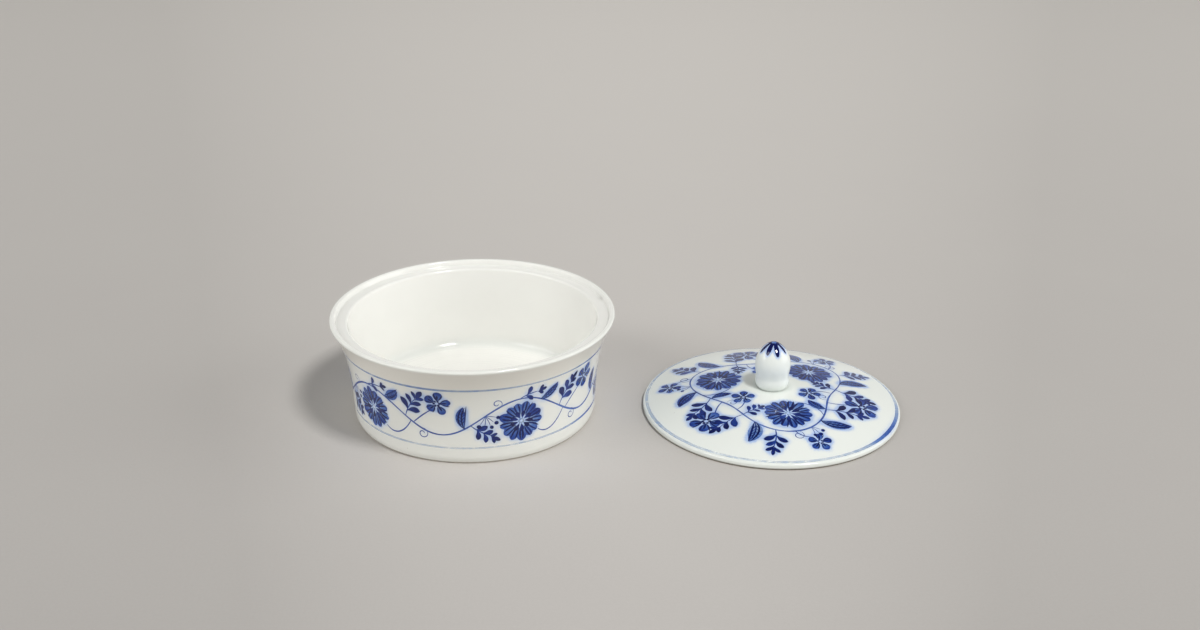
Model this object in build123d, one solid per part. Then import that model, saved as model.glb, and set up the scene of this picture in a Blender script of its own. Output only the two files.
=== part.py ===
from build123d import *
import math
import os

os.makedirs("parts", exist_ok=True)

# A round lidded box of glazed porcelain for seal paste, all sizes in millimetres.
# The box stands open on the table. Its lid lies beside it, along +X.
# +Z is up, z = 0 is the table, and the origin lies midway along the length of the pair.
# Every piece is turned, so each is one outline of radius and height, revolved about its own axis.

# Box: heights above the table
box_height = 45.2
flare_start_height = 12.0
foot_curve_height = 3.6
floor_height = 7.0
foot_recess_depth = 2.2
recess_depth = 2.2

# Box: the lip and the two arcs of the flare, which turn from the leaning wall out to the lip
rim_radius = 60.0
lip_round = 0.85
lip_thickness = 2.0
lip_flare_radius = 48.0
lip_flare_angle = 30.5
middle_flare_angle = 12.0
wall_lean_angle = 2.4

# Box: walls and widths
wall_thickness = 3.6
ledge_width = 4.65
foot_curve_inset = 1.3
foot_ring_width = 2.8

# Box: rounded corners
ledge_round = 1.1
recess_corner_round = 0.5
floor_corner_round = 4.0
foot_ring_round = 0.7

# Lid: the fit in the recess, and the plate
lid_clearance = 2.0
lid_edge_height = 2.5
lid_rise = 8.2
lid_thickness = 3.2
lid_seat_width = 4.6
lid_upper_round = 1.1
lid_lower_round = 0.6
lid_hollow_round = 1.6

# Knob: a bud on a rounded collar, which is widest at its middle and narrows to the seat
knob_seat_radius = 6.3
knob_land_margin = 0.5
collar_radius = 7.05
collar_middle_height = 3.4
waist_radius = 6.78
waist_height = 5.9
belly_radius = 7.6
belly_height = 10.8
shoulder_radius = 10.5
nose_radius = 4.7

# Where the lid lies on the table
lid_distance = 128.0


def slope(angle):
    """Direction of a wall that leans outwards by an angle from the vertical."""
    return (math.sin(angle), math.cos(angle))


def outward(angle):
    """Direction square to such a wall, away from the axis and down."""
    return (math.cos(angle), -math.sin(angle))


def step(point, direction, length):
    """The point that lies a length away from another along a direction."""
    return (point[0] + length * direction[0], point[1] + length * direction[1])


# The flare is worked out from the lip down: a tight arc under the lip, then a gentle one
lip_angle = math.radians(lip_flare_angle)
middle_angle = math.radians(middle_flare_angle)
lean_angle = math.radians(wall_lean_angle)
lip_round_centre = (rim_radius - lip_round, box_height - lip_round)
flare_end = step(lip_round_centre, outward(lip_angle), lip_round)
tight_arc_centre = step(flare_end, outward(lip_angle), lip_flare_radius)
flare_middle = step(tight_arc_centre, outward(middle_angle), -lip_flare_radius)
gentle_rise = flare_middle[1] - flare_start_height
gentle_arc_radius = gentle_rise / (math.sin(middle_angle) - math.sin(lean_angle))
gentle_arc_centre = step(flare_middle, outward(middle_angle), gentle_arc_radius)
flare_start = step(gentle_arc_centre, outward(lean_angle), -gentle_arc_radius)

# The lower wall leans in a little from there to the curve of the foot
lower_wall_rise = flare_start_height - foot_curve_height
wall_foot = step(flare_start, slope(lean_angle), -lower_wall_rise / math.cos(lean_angle))
foot_radius = wall_foot[0] - foot_curve_inset
well_base_radius = flare_start[0] - wall_thickness

# Recess for the lid: the lip keeps its thickness down to the ledge
ledge_height = box_height - recess_depth
ledge_rise = ledge_height - tight_arc_centre[1]
outer_radius_at_ledge = tight_arc_centre[0] - math.sqrt(lip_flare_radius**2 - ledge_rise**2)
recess_radius = outer_radius_at_ledge - lip_thickness
recess_mouth_radius = rim_radius - lip_thickness
ledge_inner_radius = recess_radius - ledge_width

# The lid takes its width from the recess, and the knob its height from the lid
lid_radius = recess_radius - lid_clearance
knob_land_radius = knob_seat_radius + knob_land_margin
lid_crown_height = lid_edge_height + lid_rise
lid_arc_radius = (lid_radius**2 + lid_rise**2) / (2 * lid_rise)


def dome_height_at(radius):
    """Height of the lid's upper face above the table, at a distance from its axis."""
    return lid_crown_height - lid_arc_radius + math.sqrt(lid_arc_radius**2 - radius**2)


knob_land_height = dome_height_at(knob_land_radius)
lid_seat_inner_radius = lid_radius - lid_seat_width
lid_hollow_height = knob_land_height - lid_thickness

# Both axes, so that the pair is centred on the origin along X
box_axis_x = (rim_radius - lid_distance - lid_radius) / 2
lid_axis_x = box_axis_x + lid_distance


def round_corners(outline, rounds):
    """Rounds corners of an outline, given as (corner, radius) pairs."""
    for corner, radius in rounds:
        nearest = outline.vertices().sort_by_distance(Vector(*corner))[0]
        outline = fillet(nearest, radius)
    return outline


def turn(outline, axis_x):
    """Revolves an outline of radius and height into a solid about a vertical axis."""
    return Pos(X=axis_x) * revolve(Plane.XZ * outline, Axis.Z)


def make_box_body():
    """The box: foot ring, leaning wall, flare, lip, recess and ledge for the lid, and the well."""
    floor_centre = (0, floor_height)
    base_centre = (0, foot_recess_depth)
    ring_inner_top = (foot_radius - foot_ring_width, foot_recess_depth)
    ring_inner_foot = (foot_radius - foot_ring_width, 0)
    ring_outer_foot = (foot_radius, 0)
    lip_top = (rim_radius - lip_round, box_height)
    lip_inner = (recess_mouth_radius, box_height)
    recess_corner = (recess_radius, ledge_height)
    ledge_edge = (ledge_inner_radius, ledge_height)
    well_corner = (well_base_radius, floor_height)

    underside = Polyline(floor_centre, base_centre, ring_inner_top, ring_inner_foot, ring_outer_foot)
    foot_curve = TangentArc(wall_foot, ring_outer_foot, tangent=slope(lean_angle + math.pi))
    lower_wall = Line(wall_foot, flare_start)
    gentle_flare = TangentArc(flare_start, flare_middle, tangent=slope(lean_angle))
    tight_flare = TangentArc(flare_middle, flare_end, tangent=slope(middle_angle))
    lip = TangentArc(flare_end, lip_top, tangent=slope(lip_angle))
    inside = Polyline(lip_top, lip_inner, recess_corner, ledge_edge, well_corner, floor_centre)
    outer_wall = foot_curve + lower_wall + gentle_flare + tight_flare + lip
    outline = make_face(underside + outer_wall + inside)
    outline = round_corners(
        outline,
        [
            (lip_inner, lip_round),
            (recess_corner, recess_corner_round),
            (ledge_edge, ledge_round),
            (well_corner, floor_corner_round),
            (ring_inner_top, foot_ring_round),
            (ring_inner_foot, foot_ring_round),
            (ring_outer_foot, foot_ring_round),
        ],
    )
    return turn(outline, box_axis_x)


def make_lid_plate():
    """The lid: upright edge, shallow dome, flat land for the knob, and a seat ring underneath."""
    crown = (0, knob_land_height)
    land_edge = (knob_land_radius, knob_land_height)
    edge_top = (lid_radius, lid_edge_height)
    edge_foot = (lid_radius, 0)
    seat_inner = (lid_seat_inner_radius, 0)
    hollow_crown = (0, lid_hollow_height)
    dome_middle_radius = (knob_land_radius + lid_radius) / 2
    dome_middle = (dome_middle_radius, dome_height_at(dome_middle_radius))

    dome = ThreePointArc(land_edge, dome_middle, edge_top)
    edge_and_seat = Polyline(edge_top, edge_foot, seat_inner)
    hollow = TangentArc(hollow_crown, seat_inner, tangent=(1, 0))
    middle = Polyline(hollow_crown, crown, land_edge)
    outline = make_face(dome + edge_and_seat + hollow + middle)
    outline = round_corners(
        outline,
        [
            (edge_top, lid_upper_round),
            (edge_foot, lid_lower_round),
            (seat_inner, lid_hollow_round),
        ],
    )
    return turn(outline, lid_axis_x)


def make_lid_knob():
    """The knob: flat seat, rounded collar, slight waist, and a bud with a rounded tip."""
    seat = knob_land_height
    seat_centre = (0, seat)
    seat_edge = (knob_seat_radius, seat)
    collar_middle = (collar_radius, seat + collar_middle_height)
    waist = (waist_radius, seat + waist_height)
    belly = (belly_radius, seat + belly_height)

    # The bud's shoulder and nose are arcs that touch, with the nose centred on the axis
    centre_gap = shoulder_radius - nose_radius
    shoulder_inset = shoulder_radius - belly_radius
    nose_rise = math.sqrt(centre_gap**2 - shoulder_inset**2)
    nose_centre = (0, belly[1] + nose_rise)
    nose_direction = (shoulder_inset / centre_gap, nose_rise / centre_gap)
    nose_start = step(nose_centre, nose_direction, nose_radius)
    tip = step(nose_centre, (0, 1), nose_radius)

    collar_under = TangentArc(collar_middle, seat_edge, tangent=(0, -1))
    collar_to_belly = Spline(collar_middle, waist, belly, tangents=[(0, 1), (0, 1)])
    shoulder = TangentArc(belly, nose_start, tangent=(0, 1))
    nose = TangentArc(tip, nose_start, tangent=(1, 0))
    inside = Polyline(tip, seat_centre, seat_edge)
    outline = make_face(inside + collar_under + collar_to_belly + shoulder + nose)
    return turn(outline, lid_axis_x)


pieces = {
    "box_body": make_box_body(),
    "lid_plate": make_lid_plate(),
    "lid_knob": make_lid_knob(),
}

for name, piece in pieces.items():
    export_step(piece, f"parts/{name}.step")
    size = piece.bounding_box().size
    print(f"{name}: {size.X:.2f} x {size.Y:.2f} x {size.Z:.2f} mm, {piece.volume:.0f} mm3")

print(f"lid radius {lid_radius:.2f}, recess radius {recess_radius:.2f}, ledge from {ledge_inner_radius:.2f}")
print(f"lower wall radius {flare_start[0]:.2f}, foot radius {foot_radius:.2f}")
print(f"box axis at x {box_axis_x:.2f}, lid axis at x {lid_axis_x:.2f}, knob seat at z {knob_land_height:.2f}")
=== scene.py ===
# %% [markdown]
# # A seal paste box of blue-painted porcelain
# The real thing is a low round box that was turned in white clay, painted with a brush in cobalt,
# dipped in clear glaze and fired once. Its lid lies beside it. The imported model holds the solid
# shapes and says where everything is. This lesson makes what the eye meets: the glazed skin of each
# piece, the painting under the glaze, and the plain studio around them.

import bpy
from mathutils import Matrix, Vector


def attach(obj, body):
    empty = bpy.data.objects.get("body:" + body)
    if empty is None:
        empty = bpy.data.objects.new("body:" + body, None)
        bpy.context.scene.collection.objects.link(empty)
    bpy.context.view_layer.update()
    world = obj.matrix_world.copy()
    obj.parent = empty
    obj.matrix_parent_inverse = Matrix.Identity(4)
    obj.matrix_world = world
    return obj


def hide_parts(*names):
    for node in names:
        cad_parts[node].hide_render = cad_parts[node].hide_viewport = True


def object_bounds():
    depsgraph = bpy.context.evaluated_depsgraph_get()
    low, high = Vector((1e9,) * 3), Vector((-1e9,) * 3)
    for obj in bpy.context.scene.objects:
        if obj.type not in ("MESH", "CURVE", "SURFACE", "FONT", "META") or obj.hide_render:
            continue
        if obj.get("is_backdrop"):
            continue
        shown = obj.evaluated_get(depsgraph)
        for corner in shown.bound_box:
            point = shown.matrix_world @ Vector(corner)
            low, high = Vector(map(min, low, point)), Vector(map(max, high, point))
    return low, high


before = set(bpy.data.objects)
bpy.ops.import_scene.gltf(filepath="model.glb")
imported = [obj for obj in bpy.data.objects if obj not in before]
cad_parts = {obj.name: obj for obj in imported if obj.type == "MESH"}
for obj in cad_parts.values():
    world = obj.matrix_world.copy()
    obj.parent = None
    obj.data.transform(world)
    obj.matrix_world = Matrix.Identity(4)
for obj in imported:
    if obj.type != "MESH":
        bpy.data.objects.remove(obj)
cad_low, cad_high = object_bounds()

# %% [markdown]
# ## Camera
# The photograph looks down on the pair from the front. Its camera was found by fitting the ellipses
# of the rim, the foot and the lid, so the place, the pitch, the slight roll and the lens are numbers
# from that fit. The picture is 1200 by 630 points.

# %% Set up the camera
import math

import bpy
import numpy as np
from mathutils import Matrix, Vector

MM = 0.001
camera_place = (-0.00795, -0.58103, 0.29936)
camera_pitch, camera_roll = math.radians(66.227), math.radians(0.256)
scene = bpy.context.scene


def put_in_scene(name, data):
    """Makes an object that stands unturned at the origin, and links it into the scene."""
    made = bpy.data.objects.new(name, data)
    scene.collection.objects.link(made)
    return made


camera_data = bpy.data.cameras.new("camera")
camera_data.sensor_width, camera_data.lens = 36, 45.03
camera = put_in_scene("camera", camera_data)
camera.matrix_world = (
    Matrix.Translation(camera_place)
    @ Matrix.Rotation(camera_pitch, 4, "X")
    @ Matrix.Rotation(camera_roll, 4, "Z")
)
scene.camera = camera
print("camera height in mm:", round(camera.location.z / MM))

# %% [markdown]
# ## A short way to write node trees
# Every finish below is a tree of shader nodes. These helpers add one node, give its sockets either a
# plain value or a link, and return an output, so that a tree reads like a formula.

# %% Helpers for node trees


def feed(tree, node, feeds):
    """Gives a node's inputs, by name or number, a plain value or a link from another node's output."""
    for socket, value in feeds.items():
        if isinstance(value, bpy.types.NodeSocket):
            tree.links.new(value, node.inputs[socket])
        else:
            node.inputs[socket].default_value = value


def add_node(tree, kind, feeds=None, **settings):
    """Adds a shader node with its feeds and its settings."""
    made = tree.nodes.new("ShaderNode" + kind)
    for name, value in settings.items():
        setattr(made, name, value)
    feed(tree, made, feeds or {})
    return made


def calc(tree, operation, *values):
    """One step of arithmetic on numbers or sockets."""
    return add_node(tree, "Math", dict(enumerate(values)), operation=operation).outputs[0]


def times(tree, first, second):
    """Product of two numbers or sockets."""
    return calc(tree, "MULTIPLY", first, second)


def plus(tree, first, second):
    """Sum of two numbers or sockets."""
    return calc(tree, "ADD", first, second)


def mask(tree, value, low, high):
    """0 below low, 1 above high and a smooth turn between. With low above high it runs the other way."""
    feeds = {"Value": value, "From Min": low, "From Max": high}
    return add_node(tree, "MapRange", feeds, interpolation_type="SMOOTHSTEP").outputs[0]


def blend_colour(tree, share, first, second):
    """Goes from the first colour to the second as share goes from 0 to 1."""
    feeds = {0: share, 6: first, 7: second}
    return add_node(tree, "Mix", feeds, data_type="RGBA").outputs[2]


def noise(tree, place, scale, detail):
    """Cloudy noise. A scale of 100 gives clouds about 10 mm wide."""
    feeds = {"Vector": place, "Scale": scale, "Detail": detail}
    return add_node(tree, "TexNoise", feeds).outputs[0]


def own_number(tree, name):
    """A number that the mesh carries at each vertex."""
    return add_node(tree, "Attribute", attribute_name=name).outputs["Fac"]


def srgb(*levels):
    """A colour given as 0-255 screen levels, turned into the linear values that Blender mixes."""
    levels = np.array(levels) / 255
    linear = np.where(levels <= 0.04045, levels / 12.92, ((levels + 0.055) / 1.055) ** 2.4)
    return (*linear.tolist(), 1.0)


def new_material(name):
    """A material, its node tree and its shader."""
    material = bpy.data.materials.new(name)
    material.use_nodes = True
    return material, material.node_tree, material.node_tree.nodes["Principled BSDF"]


# %% [markdown]
# ## Studio
# The pair stands on warm grey paper that fills the whole picture. One softbox at the front right,
# high up, makes the shadow that falls to the left and back. Two weak ones at the left open that
# shadow, a large low one at the right lights the wall from the side, and a pale room does the rest.
# Paper isn't perfectly even, so it gets fibres and clouds. Its colour also carries painted light:
# paler round the pair and towards the back, darker to both sides and towards the front.

# %% Paper floor
reach = 6.0
corners = [(-reach, -reach, 0), (reach, -reach, 0), (reach, reach, 0), (-reach, reach, 0)]
floor_mesh = bpy.data.meshes.new("paper_floor")
floor_mesh.from_pydata(corners, [], [(0, 1, 2, 3)])
put_in_scene("paper_floor", floor_mesh)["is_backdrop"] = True

paper, tree, shader = new_material("warm_grey_paper")
place = add_node(tree, "TexCoord").outputs["Object"]
clouds = noise(tree, place, 9.0, 3.0)
fibres = noise(tree, place, 900.0, 4.0)
grey = blend_colour(tree, clouds, srgb(198, 194, 191), srgb(202, 199, 195))
grey = blend_colour(tree, times(tree, fibres, 0.10), grey, srgb(120, 116, 112))
across, along, _ = add_node(tree, "SeparateXYZ", {0: place}).outputs
# Painted light: the paper's colour turns paler towards the back, as if more light fell there
grey = blend_colour(tree, mask(tree, along, -0.25, 1.0), grey, srgb(226, 222, 217))

# The paper's colour carries a painted falloff of light: it is paler where the pair stands and painted
# darker to both sides and towards the front, as painted shade. sideways is a direction seen from the
# camera. Past the paper's edge no more of the sheet is seen, so the tone stays level there
camera_back, paper_edge = 0.58, 0.3
sideways = calc(tree, "DIVIDE", across, plus(tree, calc(tree, "MAXIMUM", along, -0.3), camera_back))
painted_flank_shade = times(tree, calc(tree, "MINIMUM", times(tree, sideways, sideways), paper_edge**2), 1.6)
front = times(tree, mask(tree, along, -0.05, -0.3), 0.08)
from_pair = add_node(tree, "VectorMath", {0: place, 1: (0, 0.5, 0)}, operation="DISTANCE")
near_pair = mask(tree, from_pair.outputs["Value"], 1.2, 0.7)
grey = blend_colour(tree, times(tree, plus(tree, painted_flank_shade, front), near_pair), grey, (0, 0, 0, 1))
bump = add_node(tree, "Bump", {"Strength": 0.25, "Distance": 0.0002, "Height": fibres}).outputs[0]
feed(tree, shader, {"Base Color": grey, "Normal": bump, "Roughness": 0.85, "Specular IOR Level": 0.2})
floor_mesh.materials.append(paper)
print("floor reaches", reach, "m each way")

# %% Softboxes and the room


def softbox(name, direction, distance, side, power, colour=(1, 1, 1)):
    """A square lamp at a distance along a direction from the pair, turned to face it."""
    lamp = bpy.data.lights.new(name, "AREA")
    lamp.shape, lamp.size, lamp.energy, lamp.color = "SQUARE", side, power, colour
    away = Vector(direction).normalized()
    facing = away.to_track_quat("Z", "Y").to_matrix().to_4x4()
    put_in_scene(name, lamp).matrix_world = Matrix.Translation(away * distance) @ facing


softbox("key_softbox", (0.35, -0.39, 0.85), 3.0, 0.55, 47.9, (1.0, 0.99, 0.97))
softbox("fill_softbox", (-0.75, -0.45, 0.75), 3.2, 1.2, 17.0, (1.0, 0.99, 0.975))
softbox("left_card", (-0.95, -0.15, 0.40), 3.0, 1.2, 15.6, (1.0, 0.99, 0.98))
softbox("right_card", (1.0, -0.05, 0.28), 3.0, 2.4, 28.5)

room = bpy.data.worlds.new("pale_room")
room.use_nodes = True
tree = room.node_tree
sky = tree.nodes["Background"]
level_grey, top_grey = (0.65, 0.645, 0.63, 1), (0.147, 0.146, 0.142, 1)
direction = add_node(tree, "TexCoord").outputs["Generated"]
height = add_node(tree, "SeparateXYZ", {0: direction}).outputs[2]
feed(tree, sky, {0: blend_colour(tree, mask(tree, height, 0.0, 0.8), level_grey, top_grey)})
scene.world = room
scene.view_settings.view_transform = "Standard"
print("lamps:", [lamp.name for lamp in bpy.data.lights])

# %% [markdown]
# ## Outlines
# A turned piece is one outline of radius and height carried round its own axis. The outlines here
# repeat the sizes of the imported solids. Straight runs get more rows near their ends, so that smooth
# shading stays flat right up to each small rounding.

# %% Helpers for outlines
BEND_ROWS = 7


def run(start, end, spacing):
    """Points on a straight line, closer together at both ends: the share is (1 - cos(pi t)) / 2."""
    start, end = np.array(start, float), np.array(end, float)
    count = max(3, int(np.ceil(np.linalg.norm(end - start) / spacing)) + 1)
    share = (1 - np.cos(np.pi * np.linspace(0, 1, count))) / 2
    return start + share[:, None] * (end - start)


def arc(centre, radius, start, end, count):
    """Points centre + radius (cos a, sin a) while the angle a goes from start to end, in radians."""
    angle = np.linspace(start, end, count)
    return np.array(centre) + radius * np.stack([np.cos(angle), np.sin(angle)], 1)


def rounded_path(corners, spacing):
    """A path through (radius, height, rounding) corners. A corner with a rounding r becomes an arc
    that touches both runs at r / tan(half the corner's angle) from it."""
    corners = np.array(corners, float)
    points, before = [], corners[0, :2]
    for (previous, corner, following) in zip(corners[:-2], corners[1:-1], corners[2:]):
        tip, rounding = corner[:2], corner[2]
        back, ahead = previous[:2] - tip, following[:2] - tip
        back, ahead = back / np.linalg.norm(back), ahead / np.linalg.norm(ahead)
        half = math.acos(np.clip(back @ ahead, -1, 1)) / 2
        touch = rounding / math.tan(half)
        centre = tip + (back + ahead) / np.linalg.norm(back + ahead) * rounding / math.sin(half)
        turn = math.pi - 2 * half
        share = np.linspace(0, 1, BEND_ROWS)[:, None]
        first_spoke, last_spoke = tip + back * touch - centre, tip + ahead * touch - centre
        spoke = np.sin((1 - share) * turn) * first_spoke + np.sin(share * turn) * last_spoke
        bend = centre + spoke / math.sin(turn)
        points += [run(before, bend[0], spacing)[:-1], bend[:-1]]
        before = bend[-1]
    points.append(run(before, corners[-1, :2], spacing))
    return np.vstack(points)


# %% [markdown]
# ## The outer wall as one formula
# From the table up, the wall is a small foot curve, a straight lean, a gentle arc and a tighter arc
# that flares to the lip. It is written as radius for a given height, because both the skin and the
# painting need it.

# %% Radius of the outer wall
box_axis = -61.68
lid_axis = 66.32
rim_radius, box_height, lip_round = 60.0, 45.2, 0.85
flare_radius, flare_angle = 48.0, math.radians(30.5)
middle_angle, lean_angle = math.radians(12), math.radians(2.4)
flare_start_height, foot_curve_height, foot_inset = 12.0, 3.6, 1.3


def outward(angle):
    """Direction square to a wall that leans out by an angle: away from the axis and down."""
    return np.array([math.cos(angle), -math.sin(angle)])


lip_centre = np.array([rim_radius - lip_round, box_height - lip_round])
flare_end = lip_centre + lip_round * outward(flare_angle)
tight_centre = flare_end + flare_radius * outward(flare_angle)
flare_middle = tight_centre - flare_radius * outward(middle_angle)
gentle_radius = (flare_middle[1] - flare_start_height) / (math.sin(middle_angle) - math.sin(lean_angle))
gentle_centre = flare_middle + gentle_radius * outward(middle_angle)
flare_start = gentle_centre - gentle_radius * outward(lean_angle)
wall_foot = flare_start[0] - (flare_start_height - foot_curve_height) * math.tan(lean_angle)
foot_radius = wall_foot - foot_inset
foot_chord = math.hypot(foot_inset, foot_curve_height)
foot_arc_radius = foot_chord / 2 / math.sin(math.atan2(foot_inset, foot_curve_height) - lean_angle)
foot_centre = np.array([wall_foot, foot_curve_height]) - foot_arc_radius * outward(lean_angle)


def wall_radius(height):
    """Radius of the outer wall at a height, in mm. Each part is a line or the near side of a circle:
    radius = centre -/+ sqrt(R squared - (height - centre height) squared)."""
    height = np.asarray(height, float)

    def circle(centre, radius, side):
        return centre[0] + side * np.sqrt(np.maximum(radius**2 - (height - centre[1]) ** 2, 0))

    straight = flare_start[0] - (flare_start_height - height) * math.tan(lean_angle)
    tops = [foot_curve_height, flare_start_height, flare_middle[1], flare_end[1]]
    parts = [
        circle(foot_centre, foot_arc_radius, 1),
        straight,
        circle(gentle_centre, gentle_radius, -1),
        circle(tight_centre, flare_radius, -1),
    ]
    return np.select([height < top for top in tops], parts, circle(lip_centre, lip_round, 1))


print("wall radius at 5, 20, 35 and 44 mm:", wall_radius([5, 20, 35, 44]).round(2))

# %% [markdown]
# ## Outline of the box
# The outline starts under the box at its axis, goes out to the foot ring and up the wall, over the
# lip, down into the recess for the lid, across the ledge and down into the well.

# %% Box outline
foot_ring_width, foot_recess, floor_height = 2.8, 2.2, 7.0
recess_depth, lip_thickness, ledge_width, wall_thickness = 2.2, 2.0, 4.65, 3.6
ledge_height = box_height - recess_depth
recess_radius = wall_radius(ledge_height) - lip_thickness
well_base_radius = flare_start[0] - wall_thickness
ring_inside = foot_radius - foot_ring_width
foot_start_height = 0.55

wall_heights = np.concatenate([
    np.linspace(foot_start_height, foot_curve_height, 8)[:-1],
    np.linspace(foot_curve_height, flare_end[1], 62),
])
underneath = rounded_path(
    [
        (0, foot_recess, 0),
        (ring_inside, foot_recess, 0.7),
        (ring_inside, 0, 0.7),
        (foot_radius, 0, 0.7),
        (wall_radius(foot_start_height), foot_start_height, 0),
    ],
    spacing=2.2,
)
outside = np.stack([wall_radius(wall_heights), wall_heights], 1)[1:]
over_lip = arc(lip_centre, lip_round, -flare_angle, math.pi / 2, 10)[1:]
inside = rounded_path(
    [
        (rim_radius - lip_round, box_height, 0),
        (rim_radius - lip_thickness, box_height, 0.85),
        (recess_radius, ledge_height, 0.5),
        (recess_radius - ledge_width, ledge_height, 1.1),
        (well_base_radius, floor_height, 4.0),
        (0, floor_height, 0),
    ],
    spacing=1.7,
)[1:]
box_outline = np.vstack([underneath, outside, over_lip, inside])
print("box outline:", len(box_outline), "rows; recess radius", round(float(recess_radius), 2))

# %% [markdown]
# ## Outline of the lid
# The lid is a shallow dome on an upright edge. A flat ring under the edge is what it lies on, and
# what rests on the ledge when the box is shut. The middle of the underside is hollow, as a dome is.

# %% Lid outline
lid_clearance = 2.0
lid_radius = float(recess_radius) - lid_clearance
lid_edge, lid_rise, lid_thickness, seat_width = 2.5, 8.2, 3.2, 4.6
land_radius = 6.8
dome_radius = (lid_radius**2 + lid_rise**2) / (2 * lid_rise)


def dome_height(radius):
    """Height of the lid's upper face at a distance from its axis: the top of a large circle."""
    return lid_edge + lid_rise - dome_radius + np.sqrt(dome_radius**2 - np.asarray(radius, float) ** 2)


land_height = float(dome_height(land_radius))
seat_inside = lid_radius - seat_width
hollow_height = land_height - lid_thickness
hollow_radius = (seat_inside**2 + hollow_height**2) / (2 * hollow_height)


def hollow_at(radius):
    """Height of the hollow under the lid: the same kind of circle, lower."""
    return hollow_height - hollow_radius + np.sqrt(hollow_radius**2 - np.asarray(radius, float) ** 2)


hollow_out = np.linspace(0, seat_inside - 2.0, 26)
dome_in = np.linspace(lid_radius - 1.8, land_radius, 96)
lid_edge_path = rounded_path(
    [
        (hollow_out[-1], hollow_at(hollow_out[-1]), 0),
        (seat_inside, 0, 1.6),
        (lid_radius, 0, 0.6),
        (lid_radius, lid_edge, 1.1),
        (dome_in[0], dome_height(dome_in[0]), 0),
    ],
    spacing=1.0,
)
lid_outline = np.vstack([
    np.stack([hollow_out, hollow_at(hollow_out)], 1)[:-1],
    lid_edge_path[:-1],
    np.stack([dome_in, dome_height(dome_in)], 1),
    run((land_radius, land_height), (0, land_height), 1.2)[1:],
])
print("lid outline:", len(lid_outline), "rows; knob land at", round(land_height, 2), "mm")

# %% [markdown]
# ## Outline of the knob
# A bud on a rounded collar. The collar is an arc that is widest at its middle and narrows to the seat.
# From there over the waist to the belly the side is a smooth S, made of two cubics with upright ends.
# The shoulder and the nose are two arcs that touch, and the nose is centred on the axis.

# %% Knob outline
knob_seat, collar_radius, collar_middle = 6.3, 7.3, 3.0
belly_radius, belly_height, waist = 7.6, 10.2, (7.05, 5.2)
shoulder_radius, nose_radius = 11.6, 4.7
shoulder_inset = shoulder_radius - belly_radius
nose_rise = math.sqrt((shoulder_radius - nose_radius) ** 2 - shoulder_inset**2)
nose_angle = math.atan2(nose_rise, shoulder_inset)


def hermite(start, end, start_pull, end_pull, count):
    """Cubic between two points that leaves and arrives upright, each pull saying how strongly."""
    t = np.linspace(0, 1, count)[:, None]
    up = np.array([0.0, 1.0])
    return (
        (2 * t**3 - 3 * t**2 + 1) * np.array(start)
        + (t**3 - 2 * t**2 + t) * start_pull * up
        + (3 * t**2 - 2 * t**3) * np.array(end)
        + (t**3 - t**2) * end_pull * up
    )


collar_bulge = collar_radius - knob_seat
collar_arc = (collar_bulge**2 + collar_middle**2) / (2 * collar_bulge)
collar_turn = math.asin(collar_middle / collar_arc)
knob_outline = np.vstack([
    run((0, 0), (knob_seat, 0), 1.0),
    arc((collar_radius - collar_arc, collar_middle), collar_arc, -collar_turn, 0, 16)[1:],
    hermite((collar_radius, collar_middle), waist, 2.2, 2.2, 12)[1:],
    hermite(waist, (belly_radius, belly_height), 4.6, 6.0, 24)[1:],
    arc((belly_radius - shoulder_radius, belly_height), shoulder_radius, 0, nose_angle, 26)[1:],
    arc((0, belly_height + nose_rise), nose_radius, nose_angle, math.pi / 2, 26)[1:],
]) + (0, land_height)
print("knob outline:", len(knob_outline), "rows; tip at", round(float(knob_outline[-1, 1]), 2), "mm")

# %% [markdown]
# ## Turning an outline into a skin
# Row by row, every point of the outline becomes a ring of points. Neighbouring rings are joined by
# four-sided faces, the last column joins the first, and an outline that starts or ends on the axis
# is closed there by a fan round one point, so that the skin has no seam and no hole.

# %% Make the three skins


def turned_skin(name, outline, axis_x, columns, body, node):
    """Mesh of points (axis + r cos a, r sin a, z) for each outline point (r, z) and each angle a.
    Returns the object and its points in mm, from its own axis."""
    outline = np.array(outline)
    outline[[0, -1], 0] = 0
    rings = outline[1:-1]
    angle = np.arange(columns) * 2 * math.pi / columns
    grid = np.empty((len(rings), columns, 3))
    grid[..., 0] = axis_x + rings[:, :1] * np.cos(angle)
    grid[..., 1] = rings[:, :1] * np.sin(angle)
    grid[..., 2] = rings[:, 1:]
    ends = [(axis_x, 0, outline[0, 1]), (axis_x, 0, outline[-1, 1])]
    points = np.vstack([grid.reshape(-1, 3), ends])
    index = np.arange(len(rings) * columns).reshape(len(rings), columns)
    beside = np.roll(index, -1, axis=1)
    quads = np.stack([index[:-1], beside[:-1], beside[1:], index[1:]], -1).reshape(-1, 4)
    start, end = index.size, index.size + 1
    first_fan = np.stack([np.full(columns, start), beside[0], index[0]], -1)
    last_fan = np.stack([np.full(columns, end), index[-1], beside[-1]], -1)
    mesh = bpy.data.meshes.new(name)
    mesh.from_pydata(points * MM, [], [*quads.tolist(), *first_fan.tolist(), *last_fan.tolist()])
    mesh.shade_smooth()
    skin = put_in_scene(name, mesh)
    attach(skin, body)
    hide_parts(node)
    print(name, len(quads) * 2 + 2 * columns, "triangles")
    return skin, points - (axis_x, 0, 0)


wide_columns, knob_columns = 480, 192
box_skin, box_points = turned_skin(
    "box_glazed_wall", box_outline, box_axis, wide_columns, "box", "box_body"
)
lid_skin, lid_points = turned_skin(
    "lid_glazed_dome", lid_outline, lid_axis, wide_columns, "lid", "lid_plate"
)
knob_skin, knob_points = turned_skin(
    "knob_glazed_bud", knob_outline, lid_axis, knob_columns, "lid", "lid_knob"
)

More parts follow.
